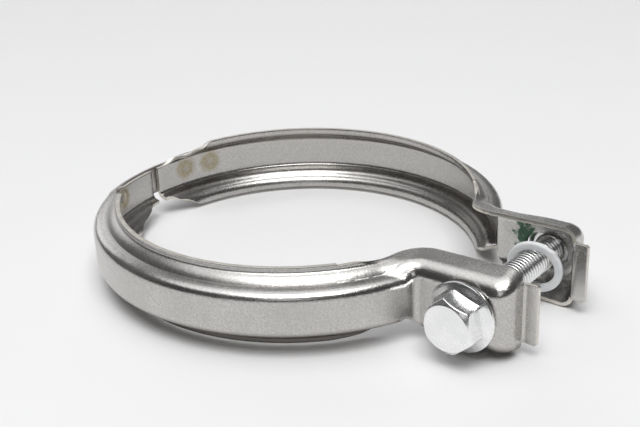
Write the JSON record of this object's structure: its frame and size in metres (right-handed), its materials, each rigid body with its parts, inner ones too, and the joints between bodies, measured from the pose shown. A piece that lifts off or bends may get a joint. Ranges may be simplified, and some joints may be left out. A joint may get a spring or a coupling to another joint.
{
  "type": "profiled pipe clamp",
  "caption": "Two-piece stainless profiled clamp ring hinged on a spring strap, drawn shut over a pipe joint by a flange bolt through two pressed ears.",
  "frame": {"origin": "centre of the bounding box, at its lowest height", "axes": "+X from the hinge strap towards the bolt and ears, +Z along the ring's axis, +Y from the front half to the rear half"},
  "size_m": [0.1422, 0.116, 0.0226],
  "materials": {
    "stainless": "satin pressed stainless sheet",
    "spring_steel": "satin spring strip",
    "zinc": "bright zinc plating",
    "nylon": "milky white nylon"
  },
  "bodies": {
    "front_half": {"front_shell": "stainless", "hinge_strap": "spring_steel"},
    "rear_half": {"rear_shell": "stainless"},
    "bolt": {"clamp_bolt": "zinc"},
    "nut": {"clamp_nut": "zinc"},
    "ring": {"retaining_ring": "nylon"}
  },
  "joints": [
    {"name": "bolt_turn", "type": "hinge", "parent": "front_half", "child": "bolt", "pos_m": [0.05571, 0, 0.01088], "axis": [0, 1, 0], "range_deg": [-360, 1800]},
    {"name": "nut_travel", "type": "slide", "parent": "front_half", "child": "nut", "axis": [0, 1, 0], "range_m": [-0.0063, 0.0013]},
    {"name": "ring_travel", "type": "slide", "parent": "front_half", "child": "ring", "axis": [0, 1, 0], "range_m": [-0.0063, 0.0013]},
    {"name": "strap_hinge", "type": "hinge", "parent": "front_half", "child": "rear_half", "pos_m": [-0.07059, -0.00225, 0.01128], "axis": [0, 0, 1], "range_deg": [-2.9, 0.6], "deforming": ["hinge_strap"]}
  ],
  "couplings": [
    {"joint": "nut_travel", "follows": "bolt_turn", "m_per_rad": -0.00019894},
    {"joint": "ring_travel", "follows": "bolt_turn", "m_per_rad": -0.00019894},
    {"joint": "strap_hinge", "follows": "bolt_turn", "ratio": -0.0015752}
  ]
}
